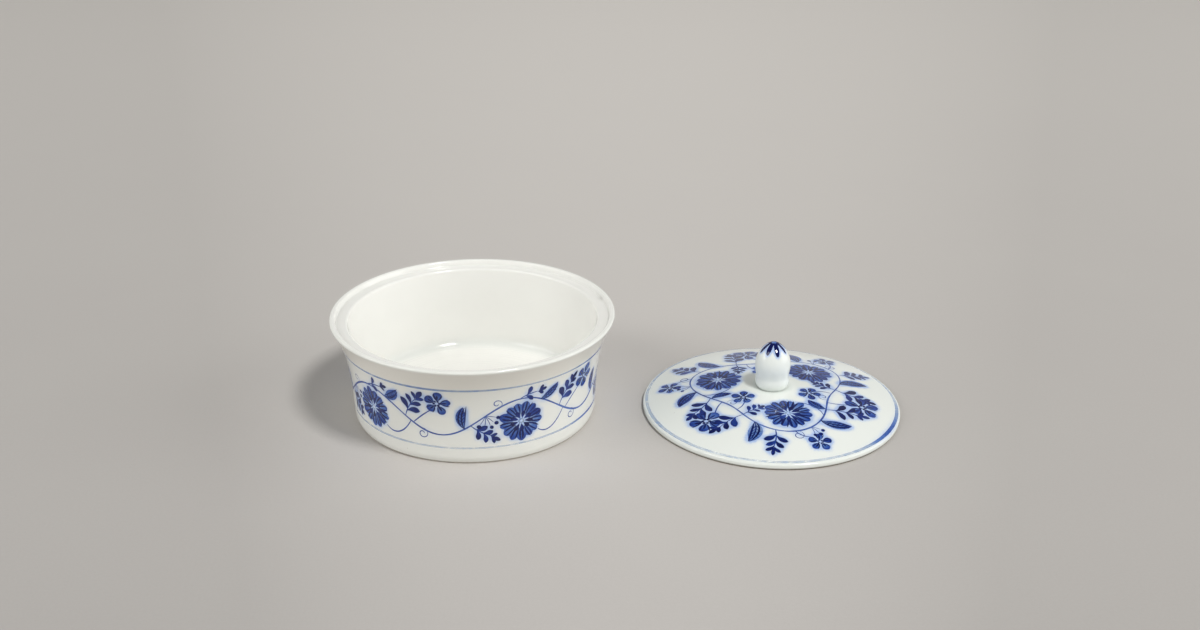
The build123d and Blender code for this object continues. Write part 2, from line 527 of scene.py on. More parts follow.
# %% [markdown]
# ## Brush strokes
# The painter worked with a pointed brush that leaves a line where it is dragged and a drop where it
# is pressed. A pattern drawn by shader nodes can't give every stroke its own start, pressure and
# end, so each stroke here is a thin ribbon of its own. It is an array of samples along the stroke,
# and each sample holds x, y, half the width, the strength of the colour, and the layer it lies in.
# The samples lie closer together at both ends, where the outline turns.

# %% Strokes as arrays
SAMPLES = 23
SIDES = np.array([[-1], [1]])  # a column, so that one call draws a whole row of strokes on each side
even = np.linspace(0, 1, SAMPLES)
ALONG = 0.45 * even + 0.55 * (1 - np.cos(np.pi * even)) / 2


def bezier(control):
    """Cubic curves through (..., 4, 2) control points: the sum of each point times its weight."""
    t = ALONG[:, None]
    weights = np.stack([(1 - t) ** 3, 3 * (1 - t) ** 2 * t, 3 * (1 - t) * t**2, t**3])
    return np.einsum("kso,...kc->...sc", weights, control)


def strokes(paths, width, skew=1.0, fullness=0.7, ink=0.8, layer=1, pool=0.0):
    """Strokes along paths. Half the width is width / 2 * sin(pi t ** skew) ** fullness, so a larger
    skew presses later, and a smaller fullness gives blunter ends. pool gathers colour at the end."""
    paths = np.asarray(paths, float).reshape(-1, SAMPLES, 2)
    count = len(paths)

    def column(value):
        return np.broadcast_to(np.asarray(value, float).ravel(), (count,))[:, None]

    reach = 0.004 + 0.992 * ALONG
    half = column(width) / 2 * np.sin(np.pi * reach ** column(skew)) ** column(fullness)
    strength = column(ink) + column(pool) * (ALONG - 0.5)
    sheet = np.broadcast_to(column(layer), half.shape)
    return np.concatenate([paths, np.stack([half, strength, sheet], -1)], -1)


def drops(base, angle, length, width, bend=0.0, skew=1.7, fullness=0.8, ink=0.92, layer=2, pool=0.15):
    """Drop strokes: each leaves its base along angle + bend and ends a length away along its angle."""
    base = np.asarray(base, float)
    base = base[..., 0] + 1j * base[..., 1]
    base, angle, length, bend = np.broadcast_arrays(base, angle, length, bend)
    lean = np.stack([0 * bend, bend, bend / 2, 0 * bend], -1)
    far = np.array([0, 0.33, 0.67, 1])
    points = base[..., None] + length[..., None] * far * np.exp(1j * (angle[..., None] + lean))
    path = bezier(np.stack([points.real, points.imag], -1))
    return strokes(path, width, skew, fullness, ink, layer, pool)


def line(points, width):
    """A stem through four control points."""
    return strokes(bezier(np.array(points, float)), width, 1.0, 0.18, 0.6, 1)


def placed(group, x=0.0, y=0.0, turn=0.0, flip=False):
    """The same strokes mirrored if asked, turned by degrees and moved."""
    point = group[..., 0] + 1j * group[..., 1]
    point = (np.conj(point) if flip else point) * np.exp(1j * math.radians(turn)) + (x + 1j * y)
    return np.concatenate([np.stack([point.real, point.imag], -1), group[..., 2:]], -1)


def by_hand(group, rng, turn=0.05, size=0.05, ink=0.07):
    """Turns, resizes and inks every stroke a little differently. Long ones hardly turn."""
    count = len(group)
    point = group[..., 0] + 1j * group[..., 1]
    length = np.abs(np.diff(point, axis=1)).sum(1)[:, None]
    free = np.minimum(1, 8 / np.maximum(length, 1)) * (length < 11)
    swing = np.exp(1j * rng.normal(0, turn, (count, 1)) * free)
    change = swing * (1 + rng.normal(0, size, (count, 1)) * free)
    point = point[:, :1] + (point - point[:, :1]) * change
    width = group[..., 2] * (1 + rng.normal(0, 0.09, (count, 1)))
    strength = group[..., 3] + rng.normal(0, ink, (count, 1))
    return np.stack([point.real, point.imag, width, strength, group[..., 4]], -1)


def ring_of(count, radius, start=0.0):
    """Points on a small circle, and the angle of each."""
    angle = start + np.arange(count) * 2 * math.pi / count
    return np.stack([radius * np.cos(angle), radius * np.sin(angle)], -1), angle


print("samples along a stroke:", SAMPLES)

# %% [markdown]
# ## Motifs
# The pattern is a traditional kind of scroll: a winding vine with round blooms, five-petalled
# blossoms, paired drop leaves, broad ribbed leaves, berries and tendrils. Each motif starts at the
# origin and grows along +X, in mm, so that it can be placed anywhere along the vine.

# %% Flowers, leaves, berries and tendrils


def bloom(radius, petals):
    """Washed petals in a ring, a darker stroke along both sides of each, short dark inner petals,
    and a pale eye."""
    base, angle = ring_of(petals, radius * 0.3)
    inner, inner_angle = ring_of(9, radius * 0.14, 0.2)
    eye, eye_angle = ring_of(7, radius * 0.055)
    return np.concatenate([
        drops(base, angle, radius * 0.7, radius * 0.44, 0, 1.25, 0.55, 0.50, 1, 0.35),
        drops(base, angle + SIDES * 0.13, radius * 0.66, radius * 0.1, SIDES * 0.28, 1.3, 0.5, 0.95, 3),
        drops(inner, inner_angle, radius * 0.42, radius * 0.21, 0.12, 1.5, 0.6, 0.88, 4, 0.3),
        drops(eye, eye_angle, radius * 0.1, radius * 0.09, 0, 1, 0.5, 0.15, 5),
    ])


def blossom(radius):
    """Five round washed petals with dark veins and edges round a dark heart."""
    base, angle = ring_of(5, radius * 0.22, 0.3)
    heart, heart_angle = ring_of(6, radius * 0.1)
    return np.concatenate([
        drops(base, angle, radius * 0.78, radius * 0.66, 0, 1.35, 0.5, 0.58, 2, 0.4),
        drops(base, angle, radius * 0.52, radius * 0.17, 0.1, 1.2, 0.6, 0.98, 3),
        drops(
            base, angle + SIDES * 0.42, radius * 0.72, radius * 0.12, SIDES * 0.35, 1.2, 0.5, 0.95, 3
        ),
        drops(heart, heart_angle, radius * 0.2, radius * 0.2, 0, 1, 0.5, 0.95, 4),
    ])


def curved_rib(length, bend, share):
    """Points at shares of a rib that starts along bend and ends on the X axis, and the whole rib."""
    control = length * np.array([0, 0.33, 0.67, 1]) * np.exp(1j * np.array([0, bend, bend / 2, 0]))
    rib = bezier(np.stack([control.real, control.imag], -1))
    return np.stack([np.interp(share, ALONG, rib[:, 0]), np.interp(share, ALONG, rib[:, 1])], -1), rib


def spray(length, pairs, leaf_length):
    """A stem with pairs of drop leaves that get shorter towards the tip."""
    share = np.linspace(0.28, 0.93, pairs)
    joints, rib = curved_rib(length, 0.25, share)
    lean = SIDES * (0.95 - 0.25 * share)
    apart = joints + np.array([[[-0.25, 0]], [[0.25, 0]]])
    size = leaf_length * (1.05 - 0.45 * share)
    return np.concatenate([
        strokes(rib, 0.62, 1, 0.18, 0.6, 1),
        drops(apart, lean, size, np.tile(size * 0.44, 2), -SIDES * 0.55, 1.8, 0.7, 0.86),
        drops(rib[-1:], 0, leaf_length * 0.75, leaf_length * 0.32, 0.1, 1.6, 0.7, 0.88),
    ])


def leaf(length, width, bend=0.5):
    """A broad leaf: one wash, both edges, a rib and its side veins."""
    share = np.linspace(0.2, 0.78, 5)
    joints, _ = curved_rib(length, bend, share)
    stalk = np.zeros((1, 2))
    vein = width * 0.52 * np.sin(np.pi * (share * 0.8 + 0.15))
    vein_lean = bend * (1 - 1.6 * share) + SIDES * 0.75
    edge_bend = bend + SIDES * (width / length * 0.95)
    return np.concatenate([
        drops(stalk, 0, length, width, bend, 1.1, 0.85, 0.52, 1, 0.3),
        drops(stalk, 0, length * 0.96, width * 0.13, bend, 1, 0.3, 0.95, 3),
        drops(joints, vein_lean, vein, 0.4, -SIDES * 0.3, 1, 0.4, 0.95, 3),
        drops(stalk, SIDES * 0.02, length, width * 0.16, edge_bend, 1.1, 0.5, 0.92, 2),
    ])


def tendril(radius, turns=1.25):
    """A spiral: the radius shrinks to about a fifth while the angle makes the turns."""
    shrinking = radius * (1 - 0.78 * ALONG)
    angle = 2 * np.pi * turns * ALONG
    path = np.stack([radius - shrinking * np.cos(angle), shrinking * np.sin(angle)], -1)
    return strokes(path, 0.5, 1.4, 0.3, 0.62, 1)


def berries(count, spread, length):
    """Round berries on short stalks that fan out."""
    angle = np.linspace(-spread, spread, count)
    stalk = length * (1 - 0.12 * np.abs(angle))
    tips = np.stack([np.cos(angle), np.sin(angle)], -1) * stalk[:, None]
    return np.concatenate([
        drops(np.zeros((count, 2)), angle, stalk, 0.4, 0.2, 1, 0.2, 0.55, 1),
        drops(tips, angle, 1.8, 1.75, 0, 1, 0.5, 0.85),
    ])


examples = bloom(8, 14), blossom(4), spray(12, 4, 5), leaf(9, 4)
print("strokes in a bloom, a blossom, a spray and a leaf:", *(len(motif) for motif in examples))

# %% [markdown]
# ## The pattern round the wall
# The wall is a band between two painted lines. Unrolled, it is 330 mm long at a reference radius,
# with x along the wall and y the height above the table. Five waves of the vine fill it. A bloom
# hangs under each crest, a blossom stands over each trough, and leaves fill what is left.

# %% Wall pattern
wall_reference = 52.5
wall_length = 2 * math.pi * wall_reference
wave = wall_length / 5
quarter = wave / 4


def wall_vine(x):
    """Height of the vine: 21 + 7.6 sin(2 pi x / wave)."""
    return 21 + 7.6 * np.sin(2 * np.pi * np.asarray(x) / wave)


def on_wall_vine(group, share, turn, flip=False, rise=0.0):
    """Places a motif on the vine at a share of a quarter wave."""
    return placed(group, share * quarter, float(wall_vine(share * quarter)) + rise, turn, flip=flip)


def wall_wave(rng):
    """The strokes of one wave of the vine."""
    q = quarter
    spans = [np.linspace(k * q - 0.7, (k + 1) * q + 0.7, SAMPLES) for k in range(4)]
    fork = 2 * q + 5
    return np.concatenate([
        strokes([np.stack([x, wall_vine(x)], -1) for x in spans], 0.85, 1, 0.1, 0.55, 1),
        placed(bloom(9.1, 13), q, 18.0, rng.uniform(0, 25)),
        line([(fork - 1, wall_vine(fork - 1)), (2 * q, 10.6), (q + 11, 9.0), (q + 7.5, 12.5)], 0.7),
        placed(blossom(5.6), 3 * q - 0.5, 28.2, rng.uniform(0, 70)),
        line([(fork, wall_vine(fork)), (2 * q + 8, 20.5), (3 * q - 7, 22), (3 * q - 3, 25)], 0.6),
        on_wall_vine(spray(10.5, 3, 7.0), 2.1, 58),
        on_wall_vine(spray(9.5, 3, 6.2), 3.75, -32, True),
        on_wall_vine(spray(8.0, 2, 5.0), 0.95, 12, rise=0.2),
        on_wall_vine(leaf(10.5, 5.0), 3.6, 90),
        on_wall_vine(leaf(9.0, 4.4, -0.5), 1.5, 34),
        on_wall_vine(tendril(2.6, 1.3), 2.5, -75),
        on_wall_vine(tendril(2.3, 1.2), 0.40, 95, True),
        on_wall_vine(berries(5, 0.95, 5.0), 0.10, -64),
    ])


rng = np.random.default_rng(7)
wall_start = -0.9 * wave
waves = [placed(by_hand(wall_wave(rng), rng), wall_start + k * wave) for k in range(5)]
wall_pattern = np.concatenate(waves)
print("strokes on the wall:", len(wall_pattern))

# %% [markdown]
# ## The pattern on the lid
# On the lid the vine closes into a wreath round the knob. Seen from above, its radius is
# 30.5 + 5.5 sin(3 a) mm, which gives three bays inside and three outside. Each third of it gets a
# bloom inside its outer bend, blossoms in both bays, and leaves that lean along the vine.

# %% Lid pattern


def wreath(angle):
    """The vine on the lid as complex numbers."""
    return (30.5 + 5.5 * np.sin(3 * angle)) * np.exp(1j * angle)


def at(radius, degrees):
    """A point on the lid at a radius and an angle."""
    return radius * math.cos(math.radians(degrees)), radius * math.sin(math.radians(degrees))


def on_wreath(group, degrees, lean, flip=False):
    """Places a motif on the vine, leaning from the vine's own direction. -90 points outwards."""
    angle = math.radians(degrees)
    point, ahead = wreath(angle), wreath(angle + 1e-3) - wreath(angle - 1e-3)
    return placed(group, point.real, point.imag, math.degrees(np.angle(ahead)) + lean, flip=flip)


def lid_third(rng):
    """The strokes of one third of the wreath."""
    spans = [wreath(np.radians(np.linspace(k * 24 - 1, (k + 1) * 24 + 1, SAMPLES))) for k in range(5)]
    return np.concatenate([
        strokes([np.stack([p.real, p.imag], -1) for p in spans], 0.85, 1, 0.1, 0.55, 1),
        placed(bloom(10.0, 14), *at(23.8, 31), rng.uniform(0, 24)),
        line([at(30.2, 60), at(26, 66), at(20.5, 63), at(17.5, 52)], 0.66),
        placed(blossom(7.2), *at(39.5, 91), rng.uniform(0, 70)),
        line([at(25.4, 80), at(29, 82), at(32, 87), at(34, 90)], 0.62),
        placed(blossom(5.0), *at(16.6, 88), rng.uniform(0, 70)),
        line([at(25.4, 100), at(22, 103), at(19, 99), at(17.5, 96)], 0.58),
        placed(blossom(5.0), *at(44.2, 41), rng.uniform(0, 70)),
        line([at(36, 30), at(38.5, 31), at(41, 34), at(42, 38)], 0.58),
        on_wreath(leaf(13.0, 6.4), 1, -58),
        on_wreath(spray(10.5, 3, 7.2), 17, -80),
        on_wreath(leaf(13.0, 6.4, -0.4), 53, -66),
        on_wreath(spray(13.0, 3, 7.4), 68, -82),
        on_wreath(spray(13.0, 3, 7.4), 109, -86, True),
        on_wreath(leaf(9.0, 4.4), 69, 60),
        on_wreath(spray(7.6, 3, 5.2), 109, 88),
        on_wreath(tendril(2.8, 1.3), 30, -75),
        on_wreath(tendril(2.5), 86, 62),
        on_wreath(berries(3, 0.5, 4.4), 42, -84),
    ])


rng = np.random.default_rng(11)
lid_turn = 10.0
thirds = [placed(by_hand(lid_third(rng), rng), turn=120 * k + lid_turn) for k in range(3)]
lid_pattern = np.concatenate(thirds)
print("strokes on the lid:", len(lid_pattern))

# %% [markdown]
# ## Banded lines and the knob
# The lines were banded: the piece turned on a wheel under a still brush, so each line is even but
# breathes a little, and it is darkest where the brush came down and left. On the knob, eight short
# strokes come down from a ring round the tip and end in a round press of the brush.

# %% Lines and knob strokes


def banded(x, y, width, ink, rng):
    """One long stroke whose width and strength waver as a sum of a few slow waves. Its ends overlap."""
    count = len(x)
    t = np.linspace(0, 2 * math.pi, count)
    waver = sum(np.sin(k * t + rng.uniform(0, 6.3)) / k for k in (2, 3, 5, 9, 14))
    come_down = np.exp(-((t - 5.65) / 0.24) ** 2)
    half = width / 2 * (1 + 0.16 * waver + 0.2 * come_down)
    strength = ink + 0.06 * waver + 0.38 * come_down
    return np.stack([x, y, half, strength, np.full(count, 1.0)], -1)[None]


LAP_SAMPLES = 601
upper_height, lower_height, lid_line_radius = 35.1, 7.6, 53.8
rng = np.random.default_rng(3)
round_wall = np.linspace(0, wall_length, LAP_SAMPLES) + 0.3 * wall_length
upper_line = banded(round_wall, np.full(LAP_SAMPLES, upper_height), 0.95, 0.22, rng)
lower_line = banded(round_wall, np.full(LAP_SAMPLES, lower_height), 0.9, 0.14, rng)
lap = np.linspace(0, 2 * math.pi, LAP_SAMPLES) + 0.1
lid_line = banded(lid_line_radius * np.cos(lap), lid_line_radius * np.sin(lap), 1.25, 0.14, rng)

tips, around = ring_of(8, 1.0, 0.22)
rings, ring_angle = ring_of(9, 1.6)
knob_pattern = by_hand(
    np.concatenate([
        drops([(-1.5, 0)], 0, 3.0, 2.8, 0, 1, 0.5, 0.45, 0),
        drops(rings, ring_angle + 1.9, 1.7, 1.5, -0.4, 1, 0.4, 1.0, 1),
        drops(tips, around, 6.3, 2.25, 0, 1.2, 0.36, 1.05, 2, 0.1),
    ]),
    rng, 0.03, 0.06, 0.04,
)
print("strokes on the knob:", len(knob_pattern))

# %% [markdown]
# ## Laying the strokes on the glaze
# A stroke drawn on a flat sheet has to follow the wall, the dome or the bud. Each of these has a
# formula that takes a flat point and a small lift off the surface. Every stroke becomes a ribbon of
# seven points across. Later layers lie a hundredth of a millimetre higher than earlier ones, so
# that a dark stroke covers the wash that it was painted over.

# %% Surfaces


def on_wall(x, y, lift):
    """Wraps (x, height) round the wall: angle x / reference radius, from the front. Lifts along the
    normal (1, -dr/dz)."""
    steep = (wall_radius(y + 0.05) - wall_radius(y - 0.05)) / 0.1
    across = 1 / np.sqrt(1 + steep**2)
    radius = wall_radius(y) + lift * across
    angle = x / wall_reference - math.pi / 2
    height = y - lift * steep * across
    return np.stack([box_axis + radius * np.cos(angle), radius * np.sin(angle), height], -1)


def on_lid(x, y, lift):
    """Drops (x, y) onto the dome. The normal there is (x, y, rest) / dome radius."""
    rest = np.sqrt(dome_radius**2 - x**2 - y**2)
    grow = 1 + lift / dome_radius
    return np.stack([lid_axis + x * grow, y * grow, lid_edge + lid_rise - dome_radius + rest * grow], -1)


bud = knob_outline[::-1]
bud_run = np.concatenate([[0], np.cumsum(np.linalg.norm(np.diff(bud, axis=0), axis=1))])


def on_knob(x, y, lift):
    """Reads (x, y) as a way of that length and direction from the tip down the bud's outline."""
    way = np.hypot(x, y)
    radius, height = np.interp(way, bud_run, bud[:, 0]), np.interp(way, bud_run, bud[:, 1])
    slope = [np.interp(way + 0.1, bud_run, side) - here for side, here in zip(bud.T, (radius, height))]
    size = np.hypot(*slope)
    reach = (radius + lift * -slope[1] / size) / np.maximum(way, 1e-6)
    return np.stack([lid_axis + x * reach, y * reach, height + lift * slope[0] / size], -1)


# %% Ribbons
ACROSS = np.array([-1, -0.84, -0.45, 0, 0.45, 0.84, 1])
LIFT, LAYER_STEP, STROKE_STEP = 0.02, 0.012, 0.00004


def carry(mesh, **numbers):
    """Stores one number for each vertex of a mesh under each name."""
    for key, value in numbers.items():
        places = mesh.attributes.new(key, "FLOAT", "POINT").data
        places.foreach_set("value", value.astype(np.float32).ravel())


def painted(name, group, surface, body):
    """Makes one mesh of all strokes in a group. Each vertex carries the ink and its distance from the
    edge in mm, and the map called marks gives the distance along and across the stroke."""
    x, y, half, ink, layer = np.moveaxis(group, -1, 0)[..., None]
    ahead = np.gradient(x + 1j * y, axis=1)
    flat = x + 1j * y + 1j * ahead / np.maximum(np.abs(ahead), 1e-9) * half * ACROSS
    count = len(group)
    number = np.arange(count)[:, None, None]
    points = surface(flat.real, flat.imag, LIFT + LAYER_STEP * layer + STROKE_STEP * number)
    index = np.arange(flat.size).reshape(flat.shape)
    corners = [index[:, :-1, :-1], index[:, 1:, :-1], index[:, 1:, 1:], index[:, :-1, 1:]]
    quads = np.stack(corners, -1).reshape(-1, 4)
    mesh = bpy.data.meshes.new(name)
    mesh.from_pydata(points.reshape(-1, 3) * MM, [], quads.tolist())
    mesh.shade_smooth()
    way = np.cumsum(np.abs(np.diff(x + 1j * y, axis=1, prepend=x[:, :1] + 1j * y[:, :1])), axis=1)
    from_edge = np.minimum(half * (1 - np.abs(ACROSS)), np.minimum(way, way[:, -1:] - way) + 0.03)
    carry(mesh, ink=ink + 0 * from_edge, edge=from_edge)
    marks = np.stack([way + 13.7 * number + 0 * from_edge, half * ACROSS + 0 * from_edge], -1)
    marks = marks.reshape(-1, 2) * 0.1
    values = marks[quads.ravel()].astype(np.float32).ravel()
    mesh.uv_layers.new(name="marks").data.foreach_set("uv", values)
    piece = put_in_scene(name, mesh)
    piece.visible_shadow = piece.visible_diffuse = False
    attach(piece, body)
    print(name, count, "strokes,", len(quads) * 2, "triangles")
    return piece


half_way = len(wall_pattern) // 2
paintings = [
    painted("wall_painting_front", wall_pattern[:half_way], on_wall, "box"),
    painted("wall_painting_back", wall_pattern[half_way:], on_wall, "box"),
    painted("wall_upper_line", upper_line, on_wall, "box"),
    painted("wall_lower_line", lower_line, on_wall, "box"),
    painted("lid_painting", lid_pattern, on_lid, "lid"),
    painted("lid_line", lid_line, on_lid, "lid"),
    painted("knob_painting", knob_pattern, on_knob, "lid"),
]

# %% [markdown]
# ## Blue that bleeds into the glaze
# In the kiln some of the cobalt wanders into the glaze, so the white round every stroke turns
# faintly blue. That halo is wider than the strokes and has no edge, so it belongs to the skin and
# not to the ribbons. The strokes are counted into the cells of a flat grid, the grid is blurred by
# multiplying its waves (a Fourier transform) by those of a bell curve, and every vertex of the skin
# reads the cell that it lies in.

# %% Halo on the skins


def halo(groups, x, y, cell, blur, wide, tall):
    """Blurred cover of the strokes at the flat points (x, y). wide and tall give the grid's range."""
    grid = np.zeros((round((tall[1] - tall[0]) / cell), round((wide[1] - wide[0]) / cell)))

    def cells(x, y):
        row = np.clip((y - tall[0]) / cell, 0, grid.shape[0] - 1).astype(int)
        return row, ((x - wide[0]) / cell).astype(int) % grid.shape[1]

    for group in groups:
        path = group[..., 0] + 1j * group[..., 1]
        step = np.abs(np.gradient(path, axis=1))
        cover = 2 * group[..., 2] * step * np.clip(group[..., 3], 0, 1)
        np.add.at(grid, cells(path.real, path.imag), cover / cell**2)
    up_waves, side_waves = (np.fft.fftfreq(size, cell) for size in grid.shape)
    bell = np.exp(-2 * (np.pi * blur) ** 2 * (up_waves[:, None] ** 2 + side_waves**2))
    soft = np.fft.ifft2(np.fft.fft2(grid) * bell).real
    return np.clip(soft[cells(x, y)], 0, 1)


bx, by, bz = box_points.T
unrolled = (np.arctan2(by, bx) + math.pi / 2) * wall_reference
outer = (np.hypot(bx, by) > wall_radius(np.clip(bz, 0, box_height - 0.01)) - 0.2) & (bz > 1)
around_wall = (0, round(wall_length * 2) / 2)
wall_groups = [wall_pattern, upper_line, lower_line]
on_band = halo(wall_groups, unrolled, bz, cell=0.5, blur=1.3, wide=around_wall, tall=(-6, 50))
carry(box_skin.data, bleed=on_band * outer)
lx, ly, lz = lid_points.T
upper_face = lz > dome_height(np.minimum(np.hypot(lx, ly), lid_radius)) - 0.4
on_dome = halo([lid_pattern, lid_line], lx, ly, cell=0.5, blur=1.4, wide=(-60, 60), tall=(-60, 60))
carry(lid_skin.data, bleed=on_dome * upper_face)
kx, ky, kz = knob_points.T
knob_way = np.interp(-kz, -bud[:, 1], bud_run) / np.maximum(np.hypot(kx, ky), 1e-6)
bud_x, bud_y = kx * knob_way, ky * knob_way
on_bud = halo([knob_pattern], bud_x, bud_y, cell=0.25, blur=1.0, wide=(-30, 30), tall=(-30, 30))
carry(knob_skin.data, bleed=on_bud)
print("halo on the wall, mean and most:", [round(float(v), 2) for v in (on_band.mean(), on_band.max())])

# %% [markdown]
# ## Clay, warmth, dirt, and painted light and shade
# The foot and the seat of the lid stood on the kiln shelf, so the glaze was wiped off them and the
# clay shows. Inside the well the glaze lies thicker and looks warmer, and the inside also gets a
# lighter white as painted light, for the light that bounces round the well. Outside, the bare band
# under the rim looks creamier than the painted wall, where the cobalt tints the glaze, and its
# warmer, slightly darker white is also painted shade under the flare. The glaze also pools in the
# corner where the knob meets the lid. A real stain lies in the corner of the recess. The dark line at
# the foot and under the lid's edge is a little dirt with a painted contact shadow, and painted shade
# lies round the corner of the recess and in the crease round the knob. Each of these is one number
# per point, from 0 to 1.

# %% Numbers for clay, warmth, pooled glaze, dirt, and painted light and shade


def turn_over(value, low, high):
    """0 before low, 1 after high, 3 t^2 - 2 t^3 between. It runs backwards when low is above high."""
    t = np.clip((np.asarray(value) - low) / (high - low), 0, 1)
    return t * t * (3 - 2 * t)


def near(radius, height, spot, size):
    """A bell round a spot of the outline: exp(-(distance / size)^2)."""
    return np.exp(-((radius - spot[0]) ** 2 + (height - spot[1]) ** 2) / size**2)


box_r = np.hypot(bx, by)
stain_angle = np.arctan2(by, bx) - math.radians(19)
recess_corner = (recess_radius - 0.1, ledge_height + 0.1)
bare_foot = turn_over(bz, 0.42, 0.22)
in_well = turn_over(bz, ledge_height + 0.1, ledge_height - 1.5)
on_floor = turn_over(bz, floor_height + 1.2, floor_height + 0.2)
# A dark line at the foot: a little dirt and a painted contact shadow
foot_dirt = 0.62 * turn_over(bz, 0.75, 0.4) * (bz < 1.2)
stain = near(box_r, bz, recess_corner, 0.9) * np.exp(-((stain_angle * recess_radius / 2.4) ** 2))
# Painted shade round the corner of the recess, added to the foot's line
box_dirt = foot_dirt + 0.08 * near(box_r, bz, recess_corner, 0.45)
carry(
    box_skin.data,
    bare=bare_foot,
    # Warmer glaze and painted light: the inside gets a lighter white for light bouncing round the well
    warmth=~outer * turn_over(bz, 2.5, 6.5) * (0.75 + 0.25 * in_well),
    # Partly the glaze's own creamier tone, partly painted shade: a warmer, darker white under the flare
    cream=outer * turn_over(bz, 34.8, 36.5) * turn_over(bz, 44.6, 43.2),
    turned=on_floor * turn_over(box_r, 1.0, 6.0) * ~outer,
    pooled=0.8 * near(box_r, bz, (well_base_radius - 1.2, floor_height + 1.2), 2.6),
    # A real stain in the recess, added to the dirt and painted shade
    dirt=np.clip(box_dirt + 0.22 * stain, 0, 1),
)
lid_r = np.hypot(lx, ly)
# Painted shade in the crease where the knob meets the lid
painted_knob_crease_shade = 0.3 * near(lid_r, lz, (knob_seat + 0.2, land_height), 0.6)
carry(
    lid_skin.data,
    bare=turn_over(lz, 0.30, 0.12),
    pooled=turn_over(lid_r, 9.6, 7.2) * upper_face,
    # A dark line under the lid's edge: a little dirt and a painted contact shadow, plus the crease shade
    dirt=turn_over(lz, 0.8, 0.5) * (lid_r > seat_inside + 1) + painted_knob_crease_shade,
)
carry(knob_skin.data, pooled=turn_over(kz, land_height + 1.4, land_height + 0.2))
print("points of bare clay on the box:", int((bare_foot > 0.5).sum()))

# %% [markdown]
# ## Shared effects
# The three skins and the painting lie under one glaze, so its clouds, its slight unevenness and the
# marks of handling are node groups that every material uses. A group gives out only numbers, and the
# shader itself stays in each material.

# %% Node groups


def shared_effect(name, takes, gives):
    """A node group that takes named numbers and gives named numbers."""
    tree = bpy.data.node_groups.new(name, "ShaderNodeTree")
    for key, value in takes.items():
        socket = tree.interface.new_socket(key, in_out="INPUT", socket_type="NodeSocketFloat")
        socket.default_value = value
    for key in gives:
        tree.interface.new_socket(key, in_out="OUTPUT", socket_type="NodeSocketFloat")
    entry, leave = tree.nodes.new("NodeGroupInput"), tree.nodes.new("NodeGroupOutput")
    place = add_node(tree, "TexCoord").outputs["Object"]
    return tree, place, entry.outputs, leave


def use(tree, effect, **feeds):
    """Places the shared effect of that name in a material and returns its outputs."""
    return add_node(tree, "Group", feeds, node_tree=bpy.data.node_groups[effect]).outputs


# Clouds: slow changes of tone, and rare specks of iron that burned through the glaze
tree, place, takes, gives = shared_effect("glaze_clouds", {"Speck size": 0.042}, ["Tone", "Specks"])
slow, quick = noise(tree, place, 16.0, 3.0), noise(tree, place, 120.0, 3.0)
tone = plus(tree, times(tree, slow, 0.7), times(tree, quick, 0.3))
cells = add_node(tree, "TexVoronoi", {"Vector": place, "Scale": 210.0})
chance = add_node(tree, "SeparateColor", {0: cells.outputs["Color"]}).outputs[0]
dot = mask(tree, cells.outputs["Distance"], takes["Speck size"], 0.015)
feed(tree, gives, {"Tone": tone, "Specks": times(tree, dot, mask(tree, chance, 0.975, 0.98))})

# Ripple: the glaze flowed a little before it froze, and it has a fine peel
tree, place, takes, gives = shared_effect("glaze_ripple", {"Peel": 0.08}, ["Height"])
flow = noise(tree, place, 130.0, 1.0)
peel = times(tree, noise(tree, place, 850.0, 1.0), takes["Peel"])
feed(tree, gives, {"Height": plus(tree, flow, peel)})

# Handling: gloss that fingers and cloths have dulled in patches
tree, place, takes, gives = shared_effect("handling_marks", {"Clean": 0.06, "Dull": 0.13}, ["Roughness"])
patches = mask(tree, noise(tree, place, 42.0, 5.0), 0.42, 0.68)
span = calc(tree, "SUBTRACT", takes["Dull"], takes["Clean"])
feed(tree, gives, {"Roughness": plus(tree, takes["Clean"], times(tree, patches, span))})

# Turning rings: faint waves that depend only on the distance from the box's axis, so noise reads that
# distance alone. They are left by the tool that shaped the floor of the well
tree, place, takes, gives = shared_effect("turning_rings", {"Ring width": 0.0016}, ["Height"])
box_middle = (box_axis * MM, 0, 0)
spoke = add_node(tree, "VectorMath", {0: place, 1: box_middle}, operation="SUBTRACT").outputs[0]
spoke = add_node(tree, "VectorMath", {0: spoke, 1: (1, 1, 0)}, operation="MULTIPLY").outputs[0]
radius = add_node(tree, "VectorMath", {0: spoke}, operation="LENGTH").outputs["Value"]
count = add_node(tree, "CombineXYZ", {0: calc(tree, "DIVIDE", radius, takes["Ring width"])}).outputs[0]
feed(tree, gives, {"Height": noise(tree, count, 1.0, 1.0)})
print("shared effects:", [g.name for g in bpy.data.node_groups])

# %% [markdown]
# ## The glaze
# Clear glaze over white clay: the clay gives the colour, and the glaze gives sharp, weak reflections.
# The colour is mixed in layers, from the clay outwards: warm, cool or creamy white, where the lighter
# inside is partly painted light and the cream band partly painted shade, the blue halo, greenish glaze
# where it pooled, specks, a stain with dirt and painted shade, and last the bare clay, which is also
# rough.

# %% Glazed skins
RING_DEPTH = 9.0


def under_glaze(tree, shader, height):
    """Gives a shader the glaze's bump of a height, and its refraction."""
    bump = add_node(tree, "Bump", {"Strength": 1.0, "Distance": 0.00002, "Height": height})
    feed(tree, shader, {"Normal": bump.outputs[0], "IOR": 1.5})


